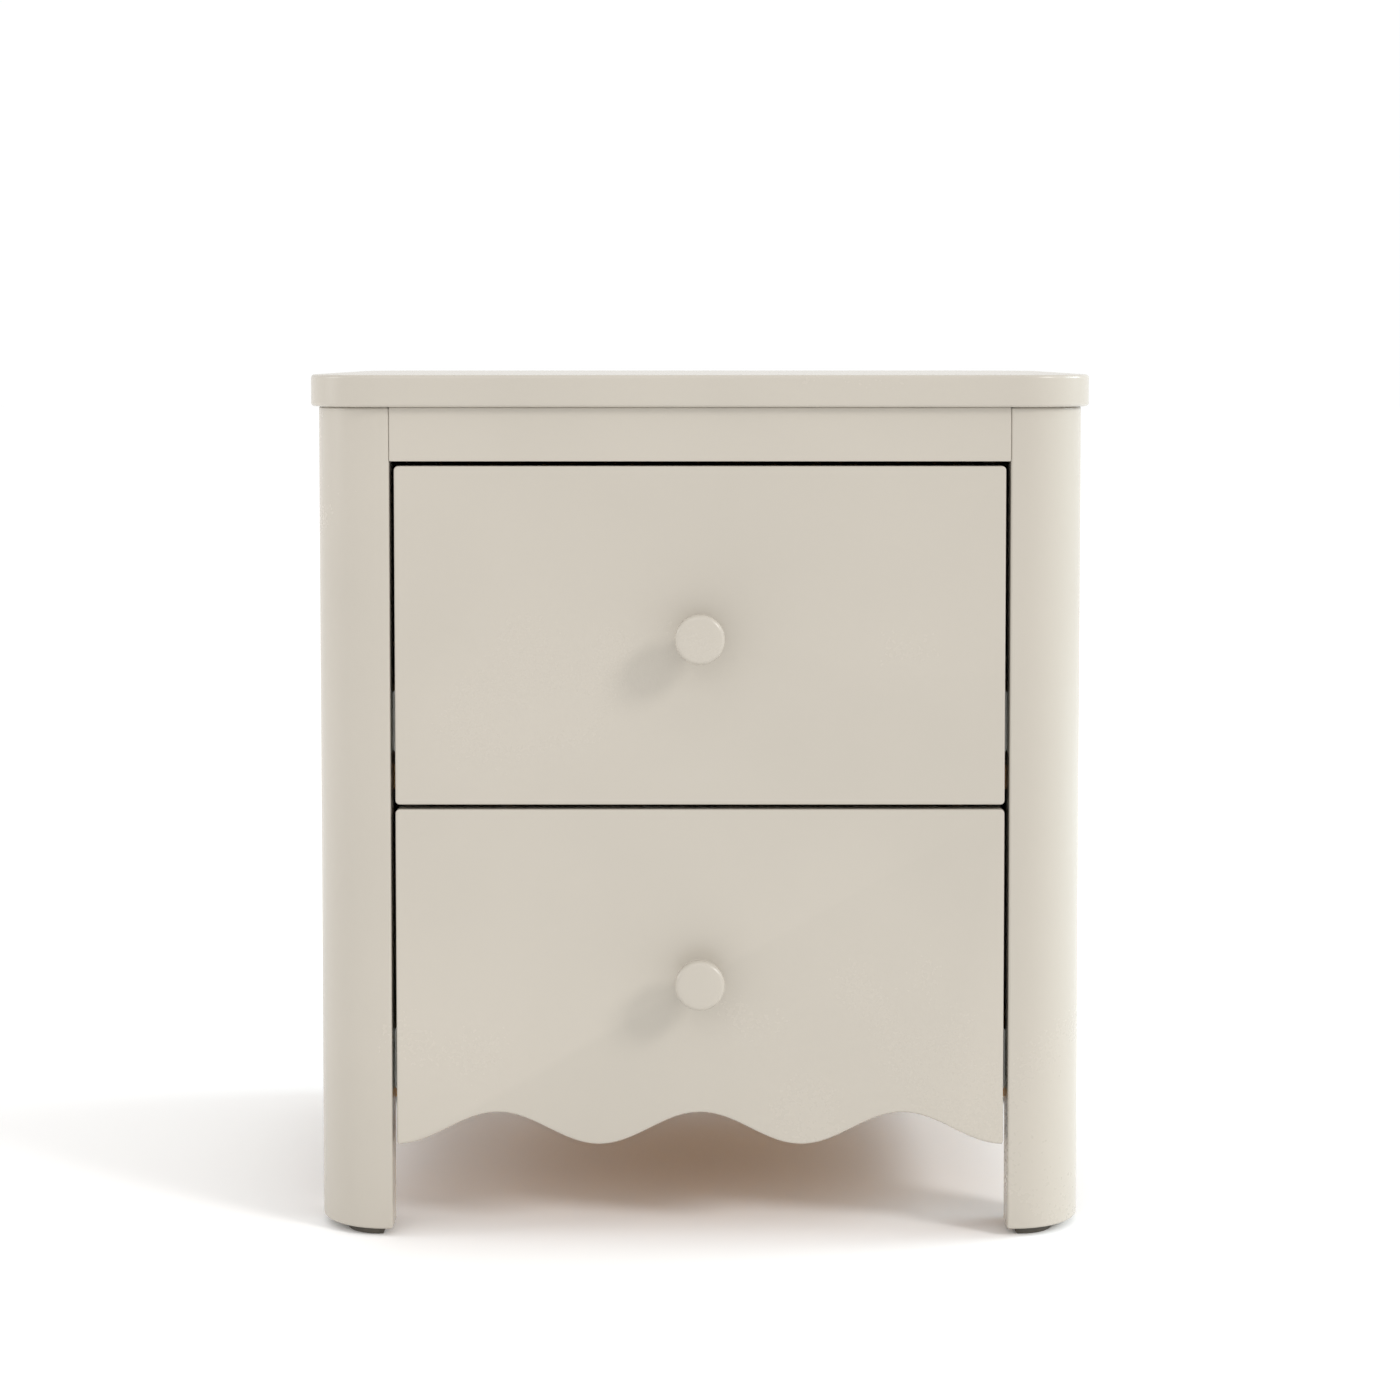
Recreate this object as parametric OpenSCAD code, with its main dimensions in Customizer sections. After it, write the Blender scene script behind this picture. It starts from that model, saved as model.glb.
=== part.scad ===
// Two-drawer nightstand: four quarter-round posts, a thick rounded top and a lower drawer with a wavy skirt.
// Millimetres. +X is to the right, the drawers face -Y and +Z is up. The origin is on the floor, under the
// middle of the whole.

/* [Overall] */
// Width of the top panel
top_w = 560; // [480:1:640]
// Depth of the top panel, front edge to back edge
top_d = 445; // [430:1:520]
// Height from the floor to the upper face of the top
total_h = 615.5; // [612:0.5:660]
// Thickness of the top panel
top_t = 22.7; // [18:0.1:30]
// How far the top stands proud of the posts on every side
overhang = 5.5; // [3:0.5:12]

/* [Posts and feet] */
// Width of a post, each way, in plan
post_w = 55; // [50:1:60]
// Radius of the rounded outer corner of a post
post_r = 50; // [30:1:50]
// Square rebate in the inner corner of a post
rebate = 28; // [26:0.5:29]
// Height of the pad under each post
glide_h = 5.3; // [3:0.1:8]
// Width of the pad under each post
glide_w = 28; // [20:1:32]
// Distance from a post's edge to its pad
glide_inset = 7.2; // [5:0.1:10]

/* [Carcass] */
// Height of the rail under the top, above the drawers
apron_h = 38.3; // [30:0.1:42]
// Thickness of the rail under the top
apron_t = 22; // [18:0.5:26]
// Thickness of the side panels and the hidden rails
board_t = 18; // [15:0.5:18]
// Height of the side panels' lower edge above the floor
side_low_z = 76; // [66:1:76]
// Height of the two rear rails
rear_rail_h = 60; // [45:1:70]
// Thickness of the back panel
back_t = 5; // [4:0.5:6]

/* [Drawer fronts] */
// Height of a drawer front
front_h = 240.5; // [236:0.1:241]
// Thickness of a drawer front
front_t = 19; // [16:0.5:20]
// Gap between a drawer front and the parts round it
front_gap = 3.3; // [2.5:0.1:4]
// Number of waves along the lower drawer front
wave_count = 3; // [2:1:5]
// Height of the waves, from their lowest to their highest point
wave_h = 23; // [10:0.5:30]

/* [Knobs] */
// Diameter of a knob
knob_d = 35; // [28:0.5:40]
// How far a knob stands out from its drawer front
knob_reach = 32; // [26:0.5:36]
// Thickness of a knob's round head
knob_head_t = 12; // [9:0.5:14]
// Diameter of a knob's stem
knob_stem_d = 17; // [14:0.5:20]

/* [Drawer boxes] */
// Height of a drawer box
box_h = 180; // [150:1:185]
// Length of a drawer box and of its slides
box_l = 350; // [330:10:350]
// Thickness of a box's sides, front and back
box_t = 12; // [12:0.5:13]
// Thickness of a box's bottom
bottom_t = 5; // [4:0.5:6]
// Height of the bottom above the box's lower edge
bottom_rise = 12; // [10:0.5:15]
// Number of dovetails at each corner of a box
tail_count = 6; // [4:1:8]

/* [Slides] */
// Depth from a drawer front's top edge down to the middle of its slides
slide_drop = 183.4; // [182:0.1:185]
// Height of a slide
slide_h = 45.8; // [45:0.1:46]
// Thickness of a slide, from the cleat to the drawer box
slide_t = 12.7; // [12.5:0.1:13]
// Height of the cleat behind a slide
cleat_h = 60; // [50:1:60]

/* [Hidden] */

$fn = 64;
paint = "#cdc7b9";
bare_wood = "#d8b98c";
plywood = "#cfae7c";
zinc = "#b8bcc0";
nylon = "#6f6a5c";

LEFT = -1;
RIGHT = 1;
LOWER = 0;
UPPER = 1;

// Extra length that a cutting shape has past the face that it opens
past = 1;
// Radial room round a screw or a dowel, and round a panel in its groove
slack = 0.05;

// Main planes of the carcass
front_y = knob_reach - (top_d - overhang + knob_reach) / 2;
rear_y = front_y + top_d - 2 * overhang;
under_top_z = total_h - top_t;
outer_x = top_w / 2 - overhang;
inner_x = outer_x - post_w;
rebate_x = inner_x + rebate; // also the side panels' inner faces
arm_t = post_w - rebate;
apron_z = under_top_z - apron_h;
top_r = post_r + overhang;

// Heights of the drawers, worked down from the rail under the top
function front_top(level) = apron_z - front_gap - (level == LOWER ? front_h + front_gap : 0);
function slide_z(level) = front_top(level) - slide_drop;
function box_z(level) = slide_z(level) - box_edge_drop;
function knob_z(level) = front_top(level) - front_h / 2;

// Drawer fronts and boxes
front_w = 2 * (inner_x - front_gap);
box_edge_drop = 22;
box_x = inner_x - slide_t;
box_y = front_y + front_t;
wave_steps = 16;
knob_edge = 3;
groove = 6;
tail_w = 0.6 * box_h / tail_count;
tail_flare = 2;

// Slides: three nested steel channels
slide_y = box_y + 2;
outer_wall = 1.2;
outer_depth = 8.8;
middle_wall = 1;
middle_depth = 6.4;
middle_start = 3.2;
middle_h = 34.8;
inner_wall = 1.2;
inner_depth = 6.5;
inner_h = 26.4;

// Hidden rails, the blocks under the top, and the pins of the foot pads
middle_rail_z = 318;
bottom_rail_setback = 100;
bottom_rail_y = front_y + bottom_rail_setback;
bottom_rail_w = 60;
block_w = 32;
block_h = 22;
glide_middle = glide_inset + glide_w / 2;
glide_pin_r = 2;
glide_pin_l = 15;
rear_rail_y = rear_y - arm_t;
back_y = rear_rail_y + board_t;

// Dowels, half of each in either part
dowel_d = 8;
dowel_l = 24;
rail_dowel_gap = 18;
rear_dowel_gap = 36;
panel_dowel_z = [120, 336, 552];

// Screws: diameter, length under the head, head diameter, head height
wood_screw = [4, 36, 8, 2.4];
back_screw = [3, 14, 6, 1.8];
slide_screw = [3.5, 16, 7, 1.6];
runner_screw = [3.5, 10, 7, 1.6];
front_screw = [4, 25, 8, 2.4];
knob_screw = [4, 45, 9, 2.5];
slide_screw_step = 140;
slide_screw_start = 39;
slide_screw_y = [for (i = [0:2]) slide_y + slide_screw_start + slide_screw_step * i];
cleat_screw_step = 127;
cleat_screw_start = 90;
cleat_screw_rise = 24;
cleat_screw_y = [for (i = [0:2]) front_y + cleat_screw_start + cleat_screw_step * i];
back_screw_step = 110;
back_screw_x = [for (i = [0:3]) (i - 1.5) * back_screw_step];
front_screw_x = 120;
front_screw_rise = 45;

// ---------------------------------------------------------------- helpers

// A box from its lowest corner to its highest corner
module block(low, high) {
    translate(low)
        cube(high - low);
}

// Draws the children as they are for the right side, or mirrored for the left
module on_side(side) {
    mirror([side == LEFT ? 1 : 0, 0, 0])
        children();
}

// Draws the children as they are for the front, or mirrored about the middle of the carcass for the rear
module at_end(is_rear) {
    translate([0, is_rear ? front_y + rear_y : 0, 0])
        mirror([0, is_rear ? 1 : 0, 0])
            children();
}

// A pan-head screw along +Z, with the underside of its head at the origin
module screw(size) {
    translate([0, 0, -size[3]])
        cylinder(d = size[2], h = size[3]);
    cylinder(d = size[0], h = size[1]);
}

// A screw whose head lies level with the face it enters
module sunk_screw(size) {
    translate([0, 0, size[3]])
        screw([size[0], size[1] - size[3], size[2], size[3]]);
}

// The hole that a screw runs in, open past the underside of its head
module screw_hole(size) {
    translate([0, 0, -past])
        cylinder(r = size[0] / 2 + slack, h = size[1] + past + slack);
}

// The sunk seat and hole of a screw whose head lies level with the face
module sunk_hole(size) {
    screw_hole(size);
    translate([0, 0, -past])
        cylinder(r = size[2] / 2 + slack, h = past + size[3] + slack);
}

// A cylinder centred on the origin and lying along X or Y
module rod_x(d, l) {
    rotate([0, 90, 0])
        cylinder(d = d, h = l, center = true);
}

module rod_y(d, l) {
    rotate([90, 0, 0])
        cylinder(d = d, h = l, center = true);
}

// Turns a screw so that it runs outwards (+X), inwards (-X) or forwards (-Y)
module facing_out() {
    rotate([0, 90, 0])
        children();
}

module facing_in() {
    rotate([0, -90, 0])
        children();
}

module facing_front() {
    rotate([90, 0, 0])
        children();
}

// What is left of a block when one upright corner of it is rounded: cut this away
module corner_cut(radius, low_z, high_z) {
    difference() {
        block([-radius, -past, low_z - past], [past, radius, high_z + past]);
        translate([-radius, radius, low_z - 2 * past])
            cylinder(r = radius, h = high_z - low_z + 4 * past);
    }
}

// ---------------------------------------------------------------- places of the dowels and screws

// Ends of the rails, right-hand side only: [y, z] of each dowel
rail_dowels = [
    for (s = [-1, 1]) [front_y + apron_t / 2, apron_z + apron_h / 2 + s * rail_dowel_gap / 2],
    for (s = [-1, 1]) [rear_rail_y + board_t / 2, under_top_z - rear_rail_h / 2 + s * rear_dowel_gap / 2],
    for (s = [-1, 1]) [rear_rail_y + board_t / 2, side_low_z + rear_rail_h / 2 + s * rear_dowel_gap / 2]
];
bottom_rail_dowels = [
    for (s = [-1, 1]) [bottom_rail_y + bottom_rail_w / 2 + s * rail_dowel_gap, side_low_z + board_t / 2]
];
panel_dowels = [
    for (y = [front_y + post_w, rear_y - post_w])
        for (z = panel_dowel_z) [y, z]
];

// Dowels of the right-hand side, or the holes for them
module right_dowels(grow) {
    for (p = rail_dowels)
        translate([inner_x, p[0], p[1]])
            rod_x(dowel_d + 2 * grow, dowel_l + 2 * grow);
    for (p = bottom_rail_dowels)
        translate([rebate_x, p[0], p[1]])
            rod_x(dowel_d + 2 * grow, dowel_l + 2 * grow);
    for (p = panel_dowels)
        translate([rebate_x + board_t / 2, p[0], p[1]])
            rod_y(dowel_d + 2 * grow, dowel_l + 2 * grow);
}

module dowel_holes() {
    for (side = [LEFT, RIGHT])
        on_side(side)
            right_dowels(slack);
}

// Runs the children at each place where a cleat is screwed to the right side panel
module at_cleat_screws() {
    for (level = [LOWER, UPPER])
        for (y = cleat_screw_y)
            translate([inner_x, y, slide_z(level) + cleat_screw_rise])
                facing_out()
                    children();
}

// Runs the children at the right-hand end of the middle rail
module at_rail_screw() {
    translate([inner_x + rebate / 2, front_y + post_w, middle_rail_z + board_t / 2])
        facing_front()
            children();
}

// Runs the children at each screw that holds a right-hand slide to its cleat
module at_slide_screws() {
    for (level = [LOWER, UPPER])
        for (y = slide_screw_y)
            translate([inner_x - outer_wall, y, slide_z(level)])
                facing_out()
                    children();
}

// Runs the children at each screw that holds the right-hand runner to the drawer box
module at_runner_screws(level) {
    for (y = slide_screw_y)
        translate([box_x + inner_wall, y, slide_z(level)])
            facing_in()
                children();
}

// Runs the children under each corner block
module at_blocks() {
    for (side = [LEFT, RIGHT])
        for (is_rear = [false, true])
            on_side(side)
                at_end(is_rear)
                    translate([rebate_x - block_w / 2, front_y + arm_t + block_w / 2, under_top_z - block_h])
                        children();
}

module at_back_screws() {
    for (x = back_screw_x)
        for (z = [side_low_z + rear_rail_h / 2, under_top_z - rear_rail_h / 2])
            translate([x, back_y + back_t, z])
                facing_front()
                    children();
}

module at_front_screws(level) {
    for (x = [-front_screw_x, front_screw_x])
        for (rise = [-front_screw_rise, front_screw_rise])
            translate([x, box_y + box_t, box_z(level) + box_h / 2 + rise])
                facing_front()
                    children();
}

module at_knob_screw(level) {
    translate([0, box_y + box_t, knob_z(level)])
        facing_front()
            children();
}

// ---------------------------------------------------------------- carcass

module top_panel() {
    color(paint)
        difference() {
            block([-top_w / 2, front_y - overhang, under_top_z], [top_w / 2, rear_y + overhang, total_h]);
            for (side = [LEFT, RIGHT])
                for (is_rear = [false, true])
                    on_side(side)
                        at_end(is_rear)
                            translate([top_w / 2, front_y - overhang, 0])
                                corner_cut(top_r, under_top_z, total_h);
            at_blocks()
                screw_hole(wood_screw);
        }
}

// A post: quarter round outside, rebated inside, with a groove for the back panel if it is a rear one
module post(side, is_rear) {
    color(paint)
        difference() {
            on_side(side)
                at_end(is_rear)
                    difference() {
                        block([inner_x, front_y, glide_h], [outer_x, front_y + post_w, under_top_z]);
                        translate([outer_x, front_y, 0])
                            corner_cut(post_r, glide_h, under_top_z);
                        block([inner_x - past, front_y + arm_t, glide_h - past],
                              [rebate_x, front_y + post_w + past, under_top_z + past]);
                    }
            dowel_holes();
            back_groove();
            glide_pins(slack);
            on_side(side)
                at_rail_screw()
                    sunk_hole(wood_screw);
        }
}

module side_panel(side) {
    color(paint)
        difference() {
            on_side(side)
                block([rebate_x, front_y + post_w, side_low_z],
                      [rebate_x + board_t, rear_y - post_w, under_top_z]);
            dowel_holes();
            on_side(side)
                at_cleat_screws()
                    screw_hole(wood_screw);
        }
}

module back_groove() {
    block([-inner_x - groove - slack, back_y - slack, side_low_z - slack],
          [inner_x + groove + slack, back_y + back_t + slack, under_top_z + past]);
}

module back_panel() {
    color(plywood)
        difference() {
            block([-inner_x - groove, back_y, side_low_z], [inner_x + groove, back_y + back_t, under_top_z]);
            at_back_screws()
                screw_hole(back_screw);
        }
}

module front_top_rail() {
    color(paint)
        difference() {
            block([-inner_x, front_y, apron_z], [inner_x, front_y + apron_t, under_top_z]);
            dowel_holes();
        }
}

module middle_rail() {
    color(bare_wood)
        difference() {
            block([-rebate_x, front_y + arm_t, middle_rail_z],
                  [rebate_x, front_y + post_w, middle_rail_z + board_t]);
            for (side = [LEFT, RIGHT])
                on_side(side)
                    at_rail_screw()
                        sunk_hole(wood_screw);
        }
}

module front_bottom_rail() {
    color(bare_wood)
        difference() {
            block([-rebate_x, bottom_rail_y, side_low_z],
                  [rebate_x, bottom_rail_y + bottom_rail_w, side_low_z + board_t]);
            dowel_holes();
        }
}

module rear_rail(low_z) {
    color(bare_wood)
        difference() {
            block([-inner_x, rear_rail_y, low_z], [inner_x, rear_rail_y + board_t, low_z + rear_rail_h]);
            dowel_holes();
            at_back_screws()
                screw_hole(back_screw);
        }
}

module cleat(side, level) {
    color(bare_wood)
        on_side(side)
            difference() {
                block([inner_x, front_y + arm_t, slide_z(level) - cleat_h / 2],
                      [rebate_x, rear_y - arm_t, slide_z(level) + cleat_h / 2]);
                at_cleat_screws()
                    sunk_hole(wood_screw);
                at_slide_screws()
                    screw_hole(slide_screw);
            }
}

module corner_blocks() {
    color(bare_wood)
        at_blocks()
            difference() {
                block([-block_w / 2, -block_w / 2, 0], [block_w / 2, block_w / 2, block_h]);
                screw_hole(wood_screw);
            }
}

// ---------------------------------------------------------------- feet and fasteners

// The pins of the four foot pads, or the holes for them
module glide_pins(grow) {
    for (side = [LEFT, RIGHT])
        for (is_rear = [false, true])
            on_side(side)
                at_end(is_rear)
                    translate([inner_x + glide_middle, front_y + glide_middle, glide_h / 2])
                        cylinder(r = glide_pin_r + grow, h = glide_h / 2 + glide_pin_l + grow);
}

// A pad follows the post's round corner, a little way in from its edges
module foot_glides() {
    color(nylon)
        union() {
            for (side = [LEFT, RIGHT])
                for (is_rear = [false, true])
                    on_side(side)
                        at_end(is_rear)
                            intersection() {
                                translate([inner_x + glide_inset, front_y + glide_inset, 0])
                                    cube([glide_w, glide_w, glide_h]);
                                translate([outer_x - post_r, front_y + post_r, -past])
                                    cylinder(r = post_r - glide_inset, h = glide_h + 2 * past);
                            }
            glide_pins(0);
        }
}

module dowels() {
    color(bare_wood)
        for (side = [LEFT, RIGHT])
            on_side(side)
                right_dowels(0);
}

// The screws of the cleats and the middle rail
module carcass_screws() {
    color(zinc)
        for (side = [LEFT, RIGHT])
            on_side(side) {
                at_cleat_screws()
                    sunk_screw(wood_screw);
                at_rail_screw()
                    sunk_screw(wood_screw);
            }
}

module top_screws() {
    color(zinc)
        at_blocks()
            screw(wood_screw);
}

module slide_screws() {
    color(zinc)
        for (side = [LEFT, RIGHT])
            on_side(side)
                at_slide_screws()
                    screw(slide_screw);
}

module back_screws() {
    color(zinc)
        at_back_screws()
            screw(back_screw);
}

// ---------------------------------------------------------------- slides

// A steel channel along Y, its web on the low-X side and its open side on the high-X side
module channel(x, depth, height, wall, y, z) {
    translate([x, y, z - height / 2])
        difference() {
            cube([depth, box_l, height]);
            translate([wall, -past, wall])
                cube([depth, box_l + 2 * past, height - 2 * wall]);
        }
}

// The member fixed to the cleat
module slide_outer(side, level) {
    color(zinc)
        on_side(side)
            difference() {
                mirror([1, 0, 0])
                    channel(-inner_x, outer_depth, slide_h, outer_wall, slide_y, slide_z(level));
                at_slide_screws()
                    screw_hole(slide_screw);
            }
}

// The member between the two others, which carries the balls
module slide_middle(side, level) {
    color(zinc)
        on_side(side)
            mirror([1, 0, 0])
                channel(middle_start - inner_x, middle_depth, middle_h, middle_wall, slide_y, slide_z(level));
}

// The member fixed to the drawer box
module slide_inner(side, level) {
    color(zinc)
        on_side(side)
            difference() {
                channel(box_x, inner_depth, inner_h, inner_wall, slide_y, slide_z(level));
                at_runner_screws(level)
                    screw_hole(runner_screw);
            }
}

// ---------------------------------------------------------------- drawers

// The wavy lower edge: its height above the lowest point, at a distance x from the middle
function wave_z(x) = wave_h / 2 * (1 - cos(360 * wave_count * (x / front_w + 0.5)));

module drawer_front(level) {
    steps = wave_count * wave_steps;
    low_z = front_top(level) - front_h;
    wave = [for (i = [0:steps]) let (x = front_w * (i / steps - 0.5)) [x, low_z + wave_z(x)]];
    flat = [[-front_w / 2, low_z], [front_w / 2, low_z]];
    edge = level == LOWER ? wave : flat;
    upper_corners = [[front_w / 2, front_top(level)], [-front_w / 2, front_top(level)]];
    color(paint)
        difference() {
            translate([0, box_y, 0])
                rotate([90, 0, 0])
                    linear_extrude(front_t)
                        polygon(concat(edge, upper_corners));
            at_front_screws(level)
                screw_hole(front_screw);
            at_knob_screw(level)
                screw_hole(knob_screw);
        }
}

// The dovetails at the front corner of the box's right side: they belong to the side
module tails(level) {
    pitch = box_h / tail_count;
    for (i = [0:tail_count - 1])
        translate([box_x - box_t, box_y, box_z(level) + pitch * (i + 0.5)])
            rotate([90, 0, 90])
                linear_extrude(box_t)
                    polygon([
                        [0, -tail_w / 2 - tail_flare], [box_t, -tail_w / 2],
                        [box_t, tail_w / 2], [0, tail_w / 2 + tail_flare]
                    ]);
}

module at_box_end(is_rear) {
    translate([0, is_rear ? 2 * box_y + box_l : 0, 0])
        mirror([0, is_rear ? 1 : 0, 0])
            children();
}

module box_side(side, level) {
    color(bare_wood)
        difference() {
            on_side(side)
                union() {
                    block([box_x - box_t, box_y + box_t, box_z(level)],
                          [box_x, box_y + box_l - box_t, box_z(level) + box_h]);
                    for (is_rear = [false, true])
                        at_box_end(is_rear)
                            tails(level);
                }
            bottom_space(level);
            on_side(side)
                at_runner_screws(level)
                    screw_hole(runner_screw);
        }
}

module box_end(is_rear, level) {
    color(bare_wood)
        difference() {
            at_box_end(is_rear)
                difference() {
                    block([-box_x, box_y, box_z(level)], [box_x, box_y + box_t, box_z(level) + box_h]);
                    for (side = [LEFT, RIGHT])
                        on_side(side)
                            tails(level);
                }
            bottom_space(level);
            at_front_screws(level)
                screw_hole(front_screw);
            at_knob_screw(level)
                screw_hole(knob_screw);
        }
}

// The bottom, or with room round it the groove that holds it
module bottom_board(level, room) {
    edge = box_t - groove - room;
    low_z = box_z(level) + bottom_rise;
    block([-box_x + edge, box_y + edge, low_z - room],
          [box_x - edge, box_y + box_l - edge, low_z + bottom_t + room]);
}

module bottom_space(level) {
    bottom_board(level, slack);
}

module box_bottom(level) {
    color(plywood)
        bottom_board(level, 0);
}

// A round knob, turned about the axis that its screw runs along
module knob(level) {
    r = knob_d / 2;
    edge = knob_edge;
    stem_l = knob_reach - knob_head_t;
    color(paint)
        difference() {
            translate([0, front_y, knob_z(level)])
                rotate([90, 0, 0])
                    union() {
                        cylinder(d = knob_stem_d, h = knob_reach - edge);
                        translate([0, 0, stem_l])
                            cylinder(r1 = r - edge, r2 = r, h = edge);
                        translate([0, 0, stem_l + edge])
                            cylinder(r = r, h = knob_head_t - 2 * edge);
                        translate([0, 0, knob_reach - edge])
                            cylinder(r1 = r, r2 = r - edge, h = edge);
                    }
            at_knob_screw(level)
                screw_hole(knob_screw);
        }
}

module knob_bolt(level) {
    color(zinc)
        at_knob_screw(level)
            screw(knob_screw);
}

module front_screws(level) {
    color(zinc)
        at_front_screws(level)
            screw(front_screw);
}

module runner_screws(level) {
    color(zinc)
        for (side = [LEFT, RIGHT])
            on_side(side)
                at_runner_screws(level)
                    screw(runner_screw);
}

// ---------------------------------------------------------------- nodes

top_panel();
post(LEFT, false);  // front_left_post
post(RIGHT, false);  // front_right_post
post(LEFT, true);  // rear_left_post
post(RIGHT, true);  // rear_right_post
side_panel(LEFT);  // left_side_panel
side_panel(RIGHT);  // right_side_panel
back_panel();
front_top_rail();
middle_rail();
front_bottom_rail();
rear_rail(under_top_z - rear_rail_h);  // rear_top_rail
rear_rail(side_low_z);  // rear_bottom_rail
cleat(LEFT, UPPER);  // upper_left_cleat
cleat(RIGHT, UPPER);  // upper_right_cleat
cleat(LEFT, LOWER);  // lower_left_cleat
cleat(RIGHT, LOWER);  // lower_right_cleat
slide_outer(LEFT, UPPER);  // upper_left_slide_outer
slide_outer(RIGHT, UPPER);  // upper_right_slide_outer
slide_outer(LEFT, LOWER);  // lower_left_slide_outer
slide_outer(RIGHT, LOWER);  // lower_right_slide_outer
slide_middle(LEFT, UPPER);  // upper_left_slide_middle
slide_middle(RIGHT, UPPER);  // upper_right_slide_middle
slide_middle(LEFT, LOWER);  // lower_left_slide_middle
slide_middle(RIGHT, LOWER);  // lower_right_slide_middle
corner_blocks();
foot_glides();
dowels();
carcass_screws();
top_screws();
slide_screws();
back_screws();
drawer_front(UPPER);  // upper_drawer_front
box_end(false, UPPER);  // upper_box_front
box_side(LEFT, UPPER);  // upper_box_left_side
box_side(RIGHT, UPPER);  // upper_box_right_side
box_end(true, UPPER);  // upper_box_back
box_bottom(UPPER);  // upper_box_bottom
knob(UPPER);  // upper_knob
knob_bolt(UPPER);  // upper_knob_screw
slide_inner(LEFT, UPPER);  // upper_left_slide_inner
slide_inner(RIGHT, UPPER);  // upper_right_slide_inner
front_screws(UPPER);  // upper_front_screws
runner_screws(UPPER);  // upper_runner_screws
drawer_front(LOWER);  // lower_drawer_front
box_end(false, LOWER);  // lower_box_front
box_side(LEFT, LOWER);  // lower_box_left_side
box_side(RIGHT, LOWER);  // lower_box_right_side
box_end(true, LOWER);  // lower_box_back
box_bottom(LOWER);  // lower_box_bottom
knob(LOWER);  // lower_knob
knob_bolt(LOWER);  // lower_knob_screw
slide_inner(LEFT, LOWER);  // lower_left_slide_inner
slide_inner(RIGHT, LOWER);  // lower_right_slide_inner
front_screws(LOWER);  // lower_front_screws
runner_screws(LOWER);  // lower_runner_screws
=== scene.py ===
"""Two-drawer nightstand: detailed painted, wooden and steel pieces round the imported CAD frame."""
import math

import bmesh
import bpy
from mathutils import Matrix, Vector


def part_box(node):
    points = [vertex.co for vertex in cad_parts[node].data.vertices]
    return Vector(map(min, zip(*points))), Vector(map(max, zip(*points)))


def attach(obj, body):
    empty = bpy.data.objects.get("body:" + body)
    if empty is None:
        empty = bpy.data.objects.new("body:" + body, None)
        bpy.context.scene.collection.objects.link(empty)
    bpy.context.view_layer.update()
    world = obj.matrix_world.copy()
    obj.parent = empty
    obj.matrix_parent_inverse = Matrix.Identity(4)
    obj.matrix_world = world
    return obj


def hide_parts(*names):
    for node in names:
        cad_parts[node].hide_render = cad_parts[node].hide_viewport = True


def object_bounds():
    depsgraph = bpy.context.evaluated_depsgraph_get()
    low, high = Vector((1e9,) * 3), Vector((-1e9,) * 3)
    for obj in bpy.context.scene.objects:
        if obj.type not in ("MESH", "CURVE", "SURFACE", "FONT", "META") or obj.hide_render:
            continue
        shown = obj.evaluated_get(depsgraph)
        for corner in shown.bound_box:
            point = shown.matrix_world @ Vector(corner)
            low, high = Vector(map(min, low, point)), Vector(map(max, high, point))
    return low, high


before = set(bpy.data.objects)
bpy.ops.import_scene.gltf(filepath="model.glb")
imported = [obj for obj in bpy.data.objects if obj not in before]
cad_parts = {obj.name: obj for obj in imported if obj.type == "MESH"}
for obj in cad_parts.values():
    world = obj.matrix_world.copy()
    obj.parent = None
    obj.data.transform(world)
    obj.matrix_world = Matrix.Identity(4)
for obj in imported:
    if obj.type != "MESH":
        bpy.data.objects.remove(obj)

cad_low, cad_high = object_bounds()
MM = 0.001  # metres
WELD_DISTANCE = 0.001 * MM
LEVELS = ("upper", "lower")
SIDES = ("left", "right")


# ---------------------------------------------------------------- materials

def new_material(name):
    """An empty material with a Principled shader; returns the material, its tree and the shader."""
    material = bpy.data.materials.new(name)
    material.use_nodes = True
    tree = material.node_tree
    return material, tree, tree.nodes["Principled BSDF"]


def add_node(tree, kind, inputs=None, **settings):
    """A node with its settings, and its inputs set to values or linked to sockets."""
    node = tree.nodes.new(kind)
    for key, value in settings.items():
        setattr(node, key, value)
    for key, value in (inputs or {}).items():
        if isinstance(value, bpy.types.NodeSocket):
            tree.links.new(value, node.inputs[key])
        else:
            node.inputs[key].default_value = value
    return node


def noise(tree, coords, scale, detail=2.0, rough=0.5):
    """Noise with so many cells to the metre."""
    inputs = {"Vector": coords, "Scale": scale, "Detail": detail, "Roughness": rough}
    return add_node(tree, "ShaderNodeTexNoise", inputs).outputs["Fac"]


def remap(tree, value, source, target):
    """Maps one (low, high) range of values to another, and clamps it."""
    inputs = {0: value, 1: source[0], 2: source[1], 3: target[0], 4: target[1]}
    return add_node(tree, "ShaderNodeMapRange", inputs).outputs[0]


def ramp(tree, value, stops):
    """A colour ramp through (place, colour) stops."""
    node = add_node(tree, "ShaderNodeValToRGB", {"Fac": value})
    elements = node.color_ramp.elements
    for element, (place, colour) in zip(elements, (stops[0], stops[-1])):
        element.position = place
        element.color = (*colour, 1)
    for place, colour in stops[1:-1]:
        elements.new(place).color = (*colour, 1)
    return node.outputs["Color"]


def mix(tree, factor, first, second):
    """Mixes two colours."""
    node = add_node(tree, "ShaderNodeMix", data_type="RGBA")
    for index, value in ((0, factor), (6, first), (7, second)):
        if isinstance(value, bpy.types.NodeSocket):
            tree.links.new(value, node.inputs[index])
        else:
            node.inputs[index].default_value = value if index == 0 else (*value, 1)
    return node.outputs[2]


def add(tree, first, second):
    """The sum of two values."""
    return add_node(tree, "ShaderNodeMath", {0: first, 1: second}, operation="ADD").outputs[0]


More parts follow.
